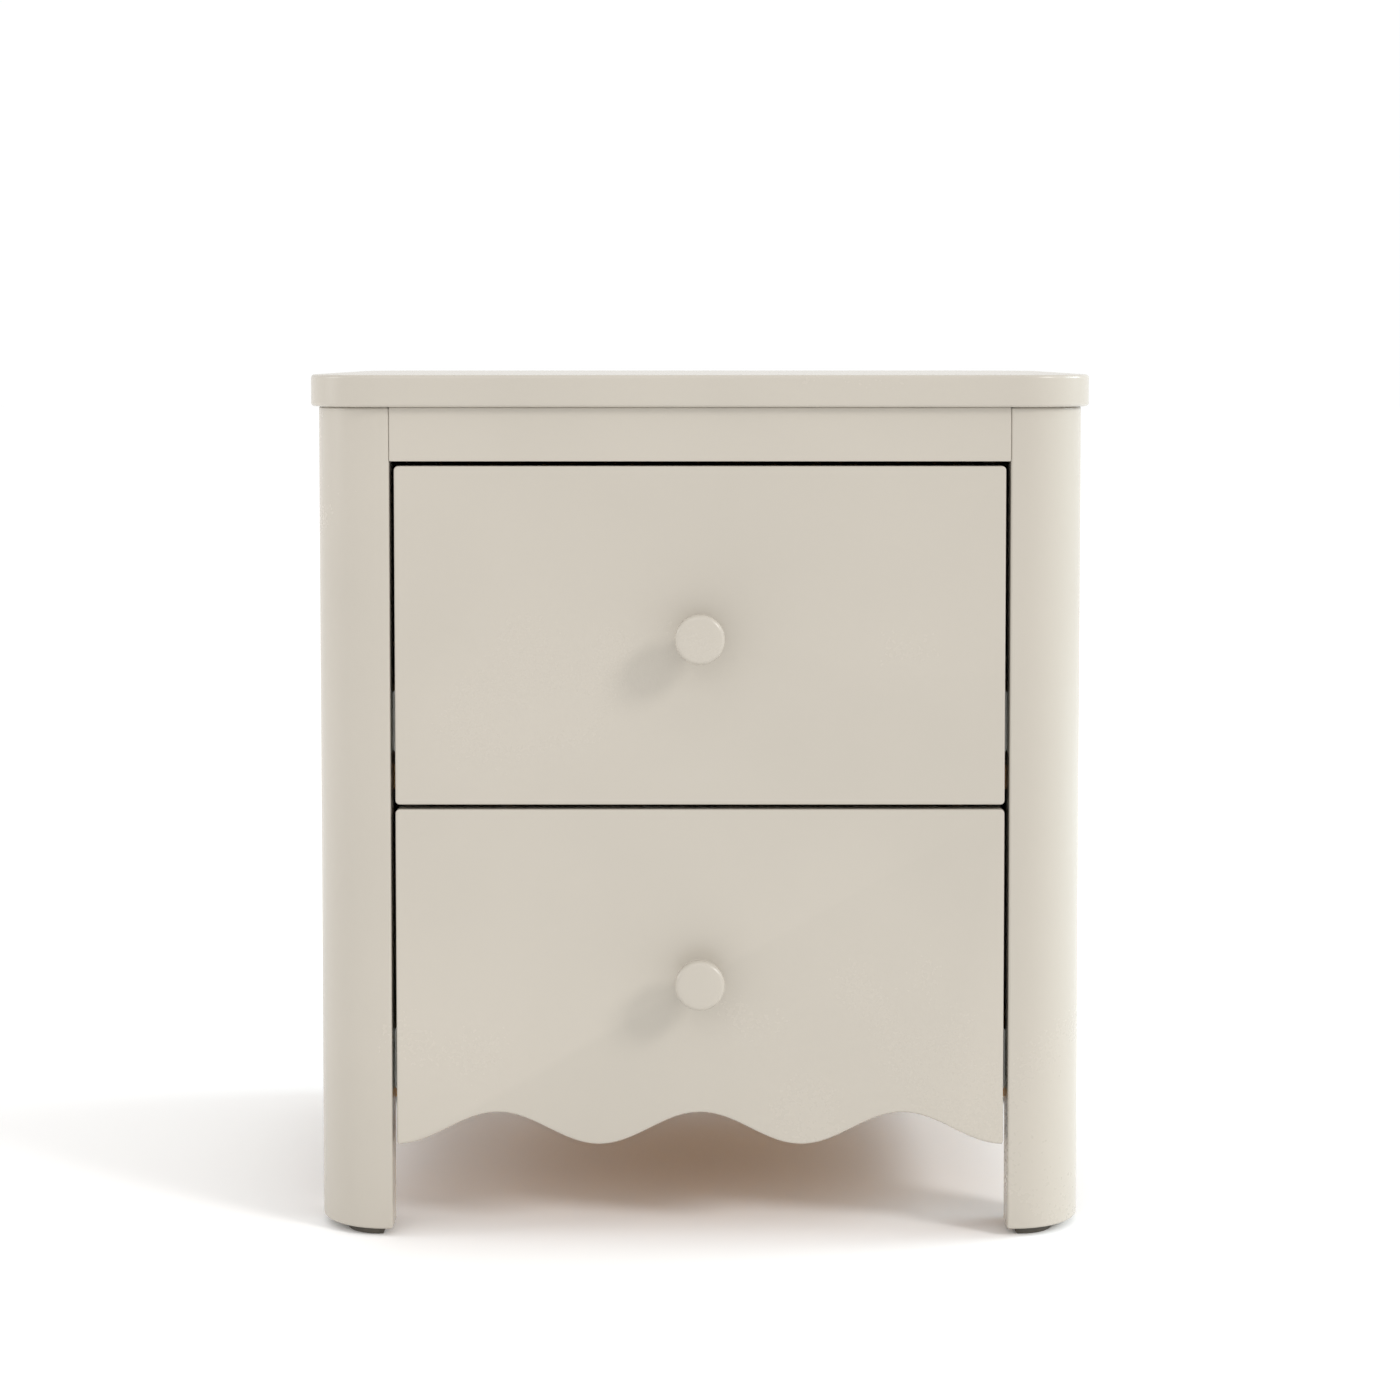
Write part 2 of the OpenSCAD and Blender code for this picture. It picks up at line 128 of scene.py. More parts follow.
def times(tree, first, second):
    """The product of two values."""
    return add_node(tree, "ShaderNodeMath", {0: first, 1: second}, operation="MULTIPLY").outputs[0]


def bump(tree, height, strength, distance):
    """A bump of so many metres for a height of 0 to 1."""
    inputs = {"Height": height, "Strength": strength, "Distance": distance}
    return add_node(tree, "ShaderNodeBump", inputs).outputs["Normal"]


def shade(colour, factor):
    """A colour made lighter or darker, kept within the range of real surfaces."""
    return tuple(min(1.0, factor * channel) for channel in colour)


def object_coords(tree):
    """Coordinates in metres that stay with the piece."""
    return add_node(tree, "ShaderNodeTexCoord").outputs["Object"]


def painted(name, colour):
    """Satin paint: faint roller texture, cloudy sheen, and lighter arrises, partly rubbed film and partly
    painted highlight.
    """
    material, tree, shader = new_material(name)
    coords = object_coords(tree)
    cloud = noise(tree, coords, scale=5.0, detail=3.0)
    speck = noise(tree, coords, scale=260.0)
    roller = noise(tree, coords, scale=700.0, rough=0.6)
    long_wave = noise(tree, coords, scale=22.0, detail=1.0)
    edge = add_node(tree, "ShaderNodeNewGeometry").outputs["Pointiness"]
    # Arrises painted lighter: partly rubbed paint, partly a painted highlight where the edges catch the light
    worn_and_highlit = remap(tree, edge, (0.52, 0.60), (0.0, 1.0))
    base = ramp(tree, cloud, [(0.3, shade(colour, 0.965)), (0.7, shade(colour, 1.02))])
    fine = mix(tree, remap(tree, speck, (0.35, 0.75), (0.0, 0.05)), base, shade(colour, 0.90))
    rubbed_and_highlit = mix(tree, times(tree, worn_and_highlit, 0.35), fine, shade(colour, 1.10))
    tree.links.new(rubbed_and_highlit, shader.inputs["Base Color"])
    sheen = add(tree, remap(tree, cloud, (0.3, 0.7), (0.21, 0.27)), times(tree, speck, 0.03))
    tree.links.new(sheen, shader.inputs["Roughness"])
    relief = add(tree, times(tree, roller, 0.3), times(tree, long_wave, 0.7))
    tree.links.new(bump(tree, relief, 0.25, 0.05 * MM), shader.inputs["Normal"])
    shader.inputs["Specular IOR Level"].default_value = 0.45
    return material


# Turns a board's grain direction into the Z axis of the wood's own space
GRAIN_TURN = {"x": (0, math.pi / 2, 0), "y": (math.pi / 2, 0, 0)}
# How far the log's axis lies beside the boards, in metres, and how rings and fibres are drawn out along it
LOG_OFFSET = (0.11, 0.19, 0)
LOG_STRETCH = (1, 1, 0.08)
FIBRE_STRETCH = (1, 1, 0.02)
WAVE_TURN = 20  # radians of the wave texture's phase for one unit of length times scale


def ply_stripes(tree, coords, axis, pitch):
    """Dark plies, so many millimetres apart along an axis, on the faces that look sideways to it."""
    place = add_node(tree, "ShaderNodeSeparateXYZ", {"Vector": coords}).outputs[axis.upper()]
    normal = add_node(tree, "ShaderNodeTexCoord").outputs["Normal"]
    facing = add_node(tree, "ShaderNodeSeparateXYZ", {"Vector": normal}).outputs[axis.upper()]
    phase = times(tree, place, 2 * math.pi / (pitch * MM))
    layer = add_node(tree, "ShaderNodeMath", {0: phase}, operation="SINE").outputs[0]
    side_on = add_node(tree, "ShaderNodeMath", {0: facing}, operation="ABSOLUTE").outputs[0]
    on_edge = remap(tree, side_on, (0.4, 0.6), (1.0, 0.0))
    return times(tree, remap(tree, layer, (-0.4, 0.4), (0.0, 0.75)), on_edge)


def wood(name, grain, pale, mid, dark, ring, rough, plies=None):
    """Timber cut from a log: growth rings about a far axis, fibres along the grain, and pores.

    grain is the axis along which the fibres run, ring the width of a growth ring in millimetres, and plies
    the (axis, pitch) of the dark layers that show on the edges of plywood.
    """
    material, tree, shader = new_material(name)
    coords = object_coords(tree)
    own = add_node(tree, "ShaderNodeObjectInfo").outputs["Random"]
    shift = add_node(tree, "ShaderNodeCombineXYZ", {"X": own, "Y": own, "Z": own}).outputs[0]
    moved = add_node(tree, "ShaderNodeVectorMath", {0: coords, 1: shift}, operation="ADD").outputs[0]
    turn = add_node(tree, "ShaderNodeMapping", {"Vector": moved, "Rotation": GRAIN_TURN[grain]}).outputs[0]
    in_log = {"Vector": turn, "Location": LOG_OFFSET, "Scale": LOG_STRETCH}
    log = add_node(tree, "ShaderNodeMapping", in_log).outputs[0]
    fibre_space = add_node(tree, "ShaderNodeMapping", {"Vector": turn, "Scale": FIBRE_STRETCH}).outputs[0]
    ring_inputs = {
        "Vector": log, "Scale": 2 * math.pi / (WAVE_TURN * ring * MM), "Distortion": 7.0, "Detail": 3.0,
        "Detail Scale": 0.9, "Detail Roughness": 0.6,
    }
    rings = add_node(tree, "ShaderNodeTexWave", ring_inputs,
                     wave_type="RINGS", rings_direction="Z", wave_profile="SAW").outputs["Fac"]
    fibre = noise(tree, fibre_space, scale=900.0, detail=4.0, rough=0.65)
    streak = noise(tree, fibre_space, scale=90.0, detail=3.0, rough=0.6)
    pores = remap(tree, noise(tree, fibre_space, scale=1800.0, detail=1.0), (0.60, 0.72), (0.0, 1.0))
    tone = add(tree, times(tree, rings, 0.24), add(tree, times(tree, streak, 0.58), times(tree, fibre, 0.18)))
    colour = ramp(tree, tone, [(0.15, pale), (0.5, mid), (0.9, dark)])
    colour = mix(tree, times(tree, pores, 0.35), colour, shade(dark, 0.55))
    if plies:
        colour = mix(tree, ply_stripes(tree, coords, *plies), colour, shade(dark, 0.5))
    tree.links.new(colour, shader.inputs["Base Color"])
    rough_map = remap(tree, tone, (0.2, 0.8), (rough - 0.07, rough + 0.07))
    tree.links.new(rough_map, shader.inputs["Roughness"])
    relief = add(tree, times(tree, fibre, 0.9), times(tree, rings, 0.1))
    tree.links.new(bump(tree, relief, 0.4, 0.12 * MM), shader.inputs["Normal"])
    shader.inputs["Specular IOR Level"].default_value = 0.35
    return material


def plated_steel(name, colour, rough=0.30):
    """Zinc-plated rolled steel: fine lines along the rolling direction, soft spangle and dull spots."""
    material, tree, shader = new_material(name)
    coords = object_coords(tree)
    rolled = add_node(tree, "ShaderNodeMapping", {"Vector": coords, "Scale": (1, 0.03, 1)}).outputs[0]
    lines = noise(tree, rolled, scale=2200.0, detail=3.0, rough=0.6)
    spangle = noise(tree, coords, scale=160.0)
    dull = noise(tree, coords, scale=30.0, detail=3.0)
    base = ramp(tree, spangle, [(0.3, shade(colour, 0.86)), (0.7, colour)])
    tree.links.new(base, shader.inputs["Base Color"])
    patches = remap(tree, dull, (0.3, 0.7), (rough - 0.05, rough + 0.12))
    tree.links.new(add(tree, patches, times(tree, lines, 0.08)), shader.inputs["Roughness"])
    tree.links.new(bump(tree, lines, 0.25, 0.02 * MM), shader.inputs["Normal"])
    shader.inputs["Metallic"].default_value = 1.0
    return material


def moulded(name, colour):
    """Moulded nylon: fine spark-eroded grain and scuffs."""
    material, tree, shader = new_material(name)
    coords = object_coords(tree)
    grain = noise(tree, coords, scale=1500.0)
    scuff = noise(tree, coords, scale=90.0, detail=4.0, rough=0.7)
    base = ramp(tree, scuff, [(0.35, colour), (0.75, shade(colour, 1.5))])
    tree.links.new(base, shader.inputs["Base Color"])
    tree.links.new(remap(tree, scuff, (0.3, 0.7), (0.45, 0.62)), shader.inputs["Roughness"])
    tree.links.new(bump(tree, grain, 0.5, 0.04 * MM), shader.inputs["Normal"])
    return material


PAINT = painted("cream_paint", (0.450, 0.414, 0.358))
# The back panel's paint is a darker copy of the cream paint: painted shade for the inside of the cabinet
SHADED_BACK_PAINT = painted("cream_paint_painted_shade", (0.425, 0.392, 0.335))
# The pale, middle and dark tone of each timber
PALE_WOOD = ((0.62, 0.43, 0.25), (0.54, 0.35, 0.18), (0.42, 0.25, 0.12))
FRAME_WOOD = ((0.60, 0.35, 0.15), (0.52, 0.29, 0.11), (0.38, 0.20, 0.07))
PLY_WOOD = ((0.68, 0.41, 0.18), (0.61, 0.34, 0.13), (0.48, 0.25, 0.08))
DRAWER_WOOD = {axis: wood("drawer_wood_" + axis, axis, *PALE_WOOD, ring=8.0, rough=0.42) for axis in "xy"}
CARCASS_WOOD = {axis: wood("frame_wood_" + axis, axis, *FRAME_WOOD, ring=12.0, rough=0.6) for axis in "xy"}
PLYWOOD = wood("birch_plywood", "x", *PLY_WOOD, ring=14.0, rough=0.45, plies=("z", 2.5))
STEEL = plated_steel("zinc_steel", (0.45, 0.445, 0.41))
BALL_STEEL = plated_steel("ball_steel", (0.62, 0.62, 0.62), rough=0.16)
SCREW_STEEL = plated_steel("screw_steel", (0.66, 0.66, 0.65), rough=0.26)
NYLON = moulded("glide_nylon", (0.060, 0.052, 0.040))


# ---------------------------------------------------------------- shapes

def make_piece(name, bm, material, body, slot, *nodes):
    """Turns a bmesh into a piece that rides on a body, takes a material, and stands for some nodes; slot is
    not used.
    """
    bmesh.ops.recalc_face_normals(bm, faces=bm.faces)
    for face in bm.faces:
        face.smooth = True
    mesh = bpy.data.meshes.new(name)
    bm.to_mesh(mesh)
    bm.free()
    mesh.materials.append(material)
    piece = bpy.data.objects.new(name, mesh)
    bpy.context.scene.collection.objects.link(piece)
    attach(piece, body)
    if nodes:
        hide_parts(*nodes)
    return piece


SHARP_ANGLE = math.radians(30)
FLAT_ANGLE = math.radians(2)
# How far the edges of each kind of piece are eased, in millimetres
EASE = {
    "top": 2.4, "post": 1.8, "front": 1.5, "apron": 0.9, "side": 0.8, "back": 0.5, "timber": 1.0,
    "box": 0.5, "bottom": 0.2, "pad": 0.6, "slide": 0.15,
}


def ease(piece, width, segments=3):
    """Rounds every arris that turns by more than the sharp angle, by a width in millimetres."""
    bevel = piece.modifiers.new("eased_edges", "BEVEL")
    bevel.width = width * MM
    bevel.segments = segments
    bevel.limit_method = "ANGLE"
    bevel.angle_limit = SHARP_ANGLE
    bevel.harden_normals = True
    return piece


def fillet(points, radii, steps=8):
    """An outline with its corners rounded: one radius for each point, 0 for a sharp one."""
    outline = []
    count = len(points)
    for i, (point, radius) in enumerate(zip(points, radii)):
        here = Vector(point)
        if radius == 0:
            outline.append(here)
            continue
        before = (Vector(points[i - 1]) - here).normalized()
        after = (Vector(points[(i + 1) % count]) - here).normalized()
        half = before.angle(after) / 2
        centre = here + (before + after).normalized() * (radius / math.sin(half))
        start = here + before * (radius / math.tan(half)) - centre
        end = here + after * (radius / math.tan(half)) - centre
        sweep = start.angle_signed(end)
        outline += [centre + Matrix.Rotation(-sweep * k / steps, 2) @ start for k in range(steps + 1)]
    return outline


# The two axes across each axis, and the axis itself
AXES = {"x": (1, 2, 0), "y": (0, 2, 1), "z": (0, 1, 2)}


def prism(outline, axis, low, high):
    """A bmesh of an outline extruded from low to high along an axis."""
    first, second, third = AXES[axis]
    bm = bmesh.new()
    rings = []
    for level in (low, high):
        ring = []
        for point in outline:
            place = [0.0, 0.0, 0.0]
            place[first], place[second], place[third] = point[0], point[1], level
            ring.append(bm.verts.new(place))
        rings.append(ring)
    count = len(outline)
    bm.faces.new(rings[0])
    bm.faces.new(rings[1])
    for i in range(count):
        j = (i + 1) % count
        bm.faces.new((rings[0][i], rings[0][j], rings[1][j], rings[1][i]))
    return bm


def rectangle(low, high, first, second):
    """The corners of a box seen along one axis, going round."""
    return [
        (low[first], low[second]), (high[first], low[second]),
        (high[first], high[second]), (low[first], high[second]),
    ]


def board(node, material, body, slot, width, axis):
    """A plain board in a CAD node's place, with eased edges."""
    low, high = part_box(node)
    first, second, third = AXES[axis]
    bm = prism(rectangle(low, high, first, second), axis, low[third], high[third])
    return ease(make_piece(node + "_board", bm, material, body, slot, node), width)


def join_rings(bm, rings, steps):
    """Faces between rings of vertices that follow each other; a ring may be one single vertex."""
    for one, two in zip(rings, rings[1:]):
        for k in range(steps):
            m = (k + 1) % steps
            corners = [one[k % len(one)], one[m % len(one)], two[m % len(two)], two[k % len(two)]]
            bm.faces.new(list(dict.fromkeys(corners)))


def lathe(bm, profile, centre, axis, steps=64):
    """Turns a profile of (radius, distance) about an axis through a centre; a radius of 0 closes an end."""
    turn = axis.to_track_quat("Z", "Y").to_matrix()
    rings = []
    for radius, distance in profile:
        ring = []
        for k in range(steps if radius > 0 else 1):
            angle = 2 * math.pi * k / steps
            spot = Vector((radius * math.cos(angle), radius * math.sin(angle), distance))
            ring.append(bm.verts.new(centre + turn @ spot))
        rings.append(ring)
    join_rings(bm, rings, steps)
    return bm


def arc(centre, radius, start, end, steps):
    """Points on an arc of (radius, distance) space, from one angle to another in degrees."""
    angles = [math.radians(start + (end - start) * k / steps) for k in range(steps + 1)]
    return [(centre[0] + radius * math.cos(a), centre[1] + radius * math.sin(a)) for a in angles]


def solids(node):
    """The lowest and highest corners of each separate solid in a CAD node."""
    bm = bmesh.new()
    bm.from_mesh(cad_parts[node].data)
    bmesh.ops.remove_doubles(bm, verts=bm.verts, dist=WELD_DISTANCE)
    left = set(bm.verts)
    boxes = []
    while left:
        group = [left.pop()]
        for vert in group:
            for edge in vert.link_edges:
                other = edge.other_vert(vert)
                if other in left:
                    left.remove(other)
                    group.append(other)
        low = Vector([min(v.co[i] for v in group) for i in range(3)])
        high = Vector([max(v.co[i] for v in group) for i in range(3)])
        boxes.append((low, high))
    bm.free()
    return sorted(boxes, key=lambda corners: tuple(round(c, 5) for c in corners[0]))


# ---------------------------------------------------------------- painted carcass

POST_RADIUS = 50 * MM
OVERHANG = 5.5 * MM


def top_panel():
    """The top, its corners round about the same centres as the posts."""
    low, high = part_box("top_panel")
    outline = fillet(rectangle(low, high, 0, 1), [POST_RADIUS + OVERHANG] * 4, 20)
    bm = prism(outline, "z", low.z, high.z)
    ease(make_piece("rounded_top", bm, PAINT, "carcass", "painted_wood", "top_panel"), EASE["top"], 5)


def post(node):
    """A quarter-round post with a square rebate in its inner corner."""
    low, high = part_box(node)
    right = 1 if low.x > 0 else -1
    back = 1 if low.y > 0 else -1
    inner = min(abs(low.x), abs(high.x)) * right
    outer = max(abs(low.x), abs(high.x)) * right
    face = high.y if back > 0 else low.y
    tail = low.y if back > 0 else high.y
    cleat_low, cleat_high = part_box("upper_right_cleat")
    rebate = cleat_high.x - cleat_low.x
    rebate_x = inner + right * rebate
    rebate_y = tail + back * rebate
    points = [
        (inner, face), (outer, face), (outer, tail),
        (rebate_x, tail), (rebate_x, rebate_y), (inner, rebate_y),
    ]
    outline = fillet(points, [0, POST_RADIUS, 0, 0, 0, 0], 20)
    bm = prism(outline, "z", low.z, high.z)
    ease(make_piece(node + "_turned", bm, PAINT, "carcass", "painted_wood", node), EASE["post"], 4)


def top_rail():
    """The rail under the top, flush with the posts."""
    low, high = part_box("front_top_rail")
    bm = prism(rectangle(low, high, 0, 2), "y", low.y, high.y)
    ease(make_piece("apron_board", bm, PAINT, "carcass", "painted_wood", "front_top_rail"), EASE["apron"])


top_panel()
for row in ("front", "rear"):
    for side in SIDES:
        post(f"{row}_{side}_post")
top_rail()
for side in SIDES:
    board(f"{side}_side_panel", PAINT, "carcass", "painted_wood", EASE["side"], "x")
board("back_panel", SHADED_BACK_PAINT, "carcass", "painted_wood", EASE["back"], "y")
for name in ("middle_rail", "front_bottom_rail", "rear_top_rail", "rear_bottom_rail"):
    board(name, CARCASS_WOOD["x"], "carcass", "frame_wood", EASE["timber"], "x")
for level in LEVELS:
    for side in SIDES:
        board(f"{level}_{side}_cleat", CARCASS_WOOD["y"], "carcass", "frame_wood", EASE["timber"], "y")


def corner_blocks():
    """Square blocks that hold the top to the carcass."""
    bm = bmesh.new()
    for low, high in solids("corner_blocks"):
        block = bmesh.ops.create_cube(bm, size=1.0)["verts"]
        bmesh.ops.scale(bm, vec=high - low, verts=block)
        bmesh.ops.translate(bm, vec=(low + high) / 2, verts=block)
    blocks = make_piece("glue_blocks", bm, CARCASS_WOOD["x"], "carcass", "frame_wood", "corner_blocks")
    ease(blocks, EASE["timber"])


PAD_ROUND = 24 * MM
PAD_CORNER = 1.5 * MM


def foot_pads():
    """Pads that follow the posts' round corners."""
    bm = bmesh.new()
    pad_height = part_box("front_left_post")[0].z
    for low, high in solids("foot_glides"):
        right = 1 if low.x > 0 else -1
        back = 1 if low.y > 0 else -1
        near = (low.x if right > 0 else high.x, high.y if back > 0 else low.y)
        far = (high.x if right > 0 else low.x, low.y if back > 0 else high.y)
        points = [near, (far[0], near[1]), far, (near[0], far[1])]
        outline = fillet(points, [PAD_CORNER, PAD_ROUND, PAD_CORNER, PAD_CORNER], 10)
        pad = prism(outline, "z", 0.0, pad_height)
        mesh = bpy.data.meshes.new("pad")
        pad.to_mesh(mesh)
        pad.free()
        bm.from_mesh(mesh)
        bpy.data.meshes.remove(mesh)
    ease(make_piece("foot_pads", bm, NYLON, "carcass", "glide_plastic", "foot_glides"), EASE["pad"])


corner_blocks()
foot_pads()


# ---------------------------------------------------------------- drawer fronts and knobs

WAVES = 3
WAVE_HEIGHT = 23 * MM
WAVE_STEPS = 96
FRONT_CORNER = 3 * MM


def front_outline(level):
    """The outline of a drawer front, from its lower left corner; the lower one has a wavy edge."""
    low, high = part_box(f"{level}_drawer_front")
    corners = rectangle(low, high, 0, 2)
    if level == "upper":
        return fillet(corners, [FRONT_CORNER] * 4, 6)
    width = high.x - low.x
    wave = []
    for k in range(1, WAVE_STEPS):
        rise = WAVE_HEIGHT / 2 * (1 - math.cos(2 * math.pi * WAVES * k / WAVE_STEPS))
        wave.append((low.x + width * k / WAVE_STEPS, low.z + rise))
    points = [corners[0], *wave, *corners[1:]]
    radii = [FRONT_CORNER / 2, *[0] * len(wave), FRONT_CORNER / 2, FRONT_CORNER, FRONT_CORNER]
    return fillet(points, radii, 6)


KNOB_STEM = 8.5 * MM
KNOB_FOOT_RADIUS = 10.1 * MM
FOOT_ARC = 3.2 * MM
NECK_ARC = 3.6 * MM
HEAD_DEPTH = 12 * MM
RIM_ARC = 3.2 * MM


def knob(level):
    """A turned knob: flared foot, waisted stem and a flat-faced head with a rounded rim."""
    low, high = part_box(f"{level}_knob")
    centre = Vector(((low.x + high.x) / 2, high.y, (low.z + high.z) / 2))
    reach = high.y - low.y
    head = (high.x - low.x) / 2
    behind_head = reach - HEAD_DEPTH
    rim_centre = head - RIM_ARC
    profile = [(0.0, 0.0), (KNOB_FOOT_RADIUS, 0.0)]
    profile += arc((KNOB_STEM + FOOT_ARC, 3.4 * MM), FOOT_ARC, 235, 180, 5)
    profile += [(KNOB_STEM - 0.3 * MM, reach * 0.35)]
    profile += arc((KNOB_STEM + 3.4 * MM, behind_head - 3.2 * MM), NECK_ARC, 180, 100, 8)
    profile += arc((rim_centre, behind_head + RIM_ARC), RIM_ARC, -90, 0, 8)
    profile += arc((rim_centre, reach - RIM_ARC - 0.25 * MM), RIM_ARC, 0, 80, 9)
    profile += [(head * 0.62, reach - 0.06 * MM), (head * 0.3, reach), (0.0, reach)]
    bm = lathe(bmesh.new(), profile, centre, Vector((0, -1, 0)), 72)
    make_piece(f"{level}_turned_knob", bm, PAINT, f"{level}_drawer", "painted_wood", f"{level}_knob")


for level in LEVELS:
    low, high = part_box(f"{level}_drawer_front")
    shape = prism(front_outline(level), "y", low.y, high.y)
    node = f"{level}_drawer_front"
    front = make_piece(f"{level}_panel_front", shape, PAINT, f"{level}_drawer", "painted_wood", node)
    ease(front, EASE["front"], 4)
    knob(level)


# ---------------------------------------------------------------- drawer boxes

def keep_node(node, material, width=0):
    """Keeps a CAD node, with a better material and edges eased by a width in millimetres."""
    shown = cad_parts[node]
    shown.data.materials.clear()
    shown.data.materials.append(material)
    if width:
        weld = shown.modifiers.new("weld", "WELD")
        weld.merge_threshold = WELD_DISTANCE
        merge = shown.modifiers.new("merge_flat_faces", "DECIMATE")
        merge.decimate_type = "DISSOLVE"
        merge.angle_limit = FLAT_ANGLE
        ease(shown, width, 2)


for level in LEVELS:
    for side in SIDES:
        keep_node(f"{level}_box_{side}_side", DRAWER_WOOD["y"], EASE["box"])
    for end in ("front", "back"):
        keep_node(f"{level}_box_{end}", DRAWER_WOOD["x"], EASE["box"])
    board(f"{level}_box_bottom", PLYWOOD, f"{level}_drawer", "plywood", EASE["bottom"], "z")


# ---------------------------------------------------------------- slides

# The sheet, bend radius and lip hook of each member, and the radius of the balls that run against it
SHEET = {"outer": 1.2 * MM, "middle": 1.0 * MM, "inner": 1.2 * MM}
BEND = {"outer": 2.6 * MM, "middle": 2.0 * MM, "inner": 2.0 * MM}
HOOK = {"outer": 1.6 * MM, "middle": 0.3 * MM, "inner": 0.3 * MM}
BALL_RADIUS = {"outer": 2.0 * MM, "inner": 1.45 * MM}
LIP_BEND_SHARE = 0.6
QUARTER = [math.radians(15 * k) for k in range(7)]
BALL_COUNT = 13
BALL_PITCH = 11 * MM
# Where a row of balls starts, as a share of the middle member's length from its front end
ROW_START = {"outer": 0.56, "inner": 0.06}


def rolled(path, wall):
    """The outline of a strip of sheet, so thick, bent along a path."""
    count = len(path)
    left = []
    right = []
    for i, point in enumerate(path):
        here = Vector(point)
        ahead = Vector(path[min(i + 1, count - 1)]) - Vector(path[max(i - 1, 0)])
        normal = Vector((-ahead.y, ahead.x)).normalized() * wall / 2
        left.append(here + normal)
        right.append(here - normal)
    return left + right[::-1]


def channel_path(web, lip, half_height, bend, hook):
    """Half-open channel seen end on: its web, two bends, two flanges and short hooks at their lips."""
    turn = 1 if lip > web else -1
    lip_bend = bend * LIP_BEND_SHARE
    upper = []
    for a in QUARTER:
        upper.append((web + turn * bend * (1 - math.cos(a)), half_height - bend * (1 - math.sin(a))))
    for a in QUARTER:
        upper.append((lip - turn * lip_bend * (1 - math.sin(a)), half_height - lip_bend * (1 - math.cos(a))))
    upper.append((lip, half_height - lip_bend - hook))
    lower = [(x, -z) for x, z in reversed(upper)]
    return lower + upper


def slide_member(level, side, member, body):
    """A rolled steel channel; the web faces the cabinet, but the inner member's faces the drawer."""
    node = f"{level}_{side}_slide_{member}"
    low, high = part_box(node)
    wall = SHEET[member]
    middle = (low.z + high.z) / 2
    web_is_high = (side == "right") != (member == "inner")
    web, lip = (high.x, low.x) if web_is_high else (low.x, high.x)
    inward = wall / 2 * (1 if lip > web else -1)
    half_height = (high.z - low.z - wall) / 2
    path = channel_path(web + inward, lip - inward, half_height, BEND[member], HOOK[member])
    outline = [(x, z + middle) for x, z in rolled(path, wall)]
    bm = prism(outline, "y", low.y, high.y)
    ease(make_piece(node + "_rolled", bm, STEEL, body, "slide_steel", node), EASE["slide"], 1)


def balls(level, side):
    """Steel balls in two pairs of races: outside the middle member at its rear, inside it at its front."""
    middle_low, middle_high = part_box(f"{level}_{side}_slide_middle")
    middle_half = (middle_high.z - middle_low.z) / 2
    for name in ("outer", "inner"):
        low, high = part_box(f"{level}_{side}_slide_{name}")
        half = (high.z - low.z) / 2
        if name == "outer":
            reach = (half - SHEET["outer"] + middle_half) / 2
        else:
            reach = (half + middle_half - SHEET["middle"]) / 2
        x = (max(low.x, middle_low.x) + min(high.x, middle_high.x)) / 2
        first = middle_low.y + (middle_high.y - middle_low.y) * ROW_START[name]
        bm = bmesh.new()
        for row in (-1, 1):
            for k in range(BALL_COUNT):
                spot = Vector((x, first + k * BALL_PITCH, (low.z + high.z) / 2 + row * reach))
                made = bmesh.ops.create_uvsphere(bm, u_segments=12, v_segments=8, radius=BALL_RADIUS[name])
                bmesh.ops.translate(bm, vec=spot, verts=made["verts"])
        make_piece(f"{level}_{side}_{name}_balls", bm, BALL_STEEL, f"{level}_{side}_runner", "slide_steel")


for level in LEVELS:
    for side in SIDES:
        slide_member(level, side, "outer", "carcass")
        slide_member(level, side, "middle", f"{level}_{side}_runner")
        slide_member(level, side, "inner", f"{level}_drawer")
        balls(level, side)


# ---------------------------------------------------------------- screws

HEAD_STEPS = 32
# The radius of each ring of a head, and the half width and reach of its cross, as shares of its radius
HEAD_SHARES = (0.0, 0.12, 0.2, 0.28, 0.36, 0.44, 0.52, 0.62, 0.76, 0.9, 1.0)
CROSS_HALF_WIDTH = 0.13
CROSS_REACH = 0.5
# The dome's fall towards the rim, the cross's depth and the rim's height, as shares of a head's height
DOME_FALL = 0.55
CROSS_DEPTH = 0.5
RIM_HEIGHT = 0.5


def head_height(x, y, share):
    """The head's surface, as a share of its height, at a spot given in shares of its radius."""
    if share == 1.0:
        return RIM_HEIGHT
    crown = math.sqrt(1 - DOME_FALL * share * share)
    across, along = sorted((abs(x), abs(y)))
    if across < CROSS_HALF_WIDTH and along < CROSS_REACH:
        return crown - CROSS_DEPTH * (1 - along)
    return crown


def screw_head(bm, centre, axis, radius, height):
    """A domed pan head with a cross recess, its flat underside at the centre and its crown along the axis."""
    turn = axis.to_track_quat("Z", "Y").to_matrix()
    rings = []
    for share in HEAD_SHARES:
        ring = []
        for k in range(HEAD_STEPS if share > 0 else 1):
            angle = 2 * math.pi * (k + 0.5) / HEAD_STEPS
            x, y = share * math.cos(angle), share * math.sin(angle)
            spot = Vector((x * radius, y * radius, height * head_height(x, y, share)))
            ring.append(bm.verts.new(centre + turn @ spot))
        rings.append(ring)
    underside = []
    for k in range(HEAD_STEPS):
        angle = 2 * math.pi * (k + 0.5) / HEAD_STEPS
        spot = Vector((radius * math.cos(angle), radius * math.sin(angle), 0))
        underside.append(bm.verts.new(centre + turn @ spot))
    rings += [underside, [bm.verts.new(centre)]]
    join_rings(bm, rings, HEAD_STEPS)


